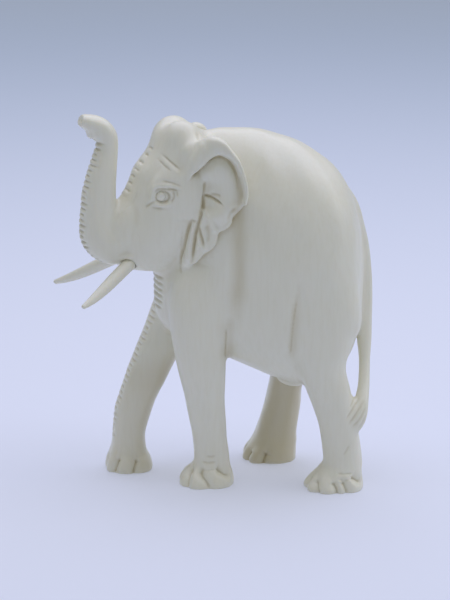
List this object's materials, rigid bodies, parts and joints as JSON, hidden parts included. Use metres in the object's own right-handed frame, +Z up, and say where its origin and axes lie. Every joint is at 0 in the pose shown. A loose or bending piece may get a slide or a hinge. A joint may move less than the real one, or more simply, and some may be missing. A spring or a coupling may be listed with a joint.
{
  "type": "elephant figurine",
  "caption": "Carved pale wooden elephant standing mid-stride with raised trunk, turned head, set-in tusks and round eyes.",
  "frame": {"origin": "on the table, under the middle of the whole outline", "axes": "+Z up from the soles, -X the way the elephant walks, -Y its left side"},
  "size_m": [0.1089, 0.056, 0.1288],
  "materials": {
    "carved_wood": "satin, hand-rubbed pale close-grained wood",
    "tusk_wood": "polished pale close-grained wood",
    "eye_wood": "satin, hand-rubbed pale close-grained wood"
  },
  "bodies": {
    "carving": {"carved_body": "carved_wood", "left_eye": "eye_wood", "right_eye": "eye_wood"},
    "left_tusk": {"left_tusk": "tusk_wood"},
    "right_tusk": {"right_tusk": "tusk_wood"}
  },
  "joints": [
    {"name": "left_tusk_pull", "type": "slide", "parent": "carving", "child": "left_tusk", "axis": [-0.6284, -0.6609, -0.4103], "range_m": [0, 0.01]},
    {"name": "right_tusk_pull", "type": "slide", "parent": "carving", "child": "right_tusk", "axis": [-0.8651, 0.2887, -0.4102], "range_m": [0, 0.01]}
  ]
}
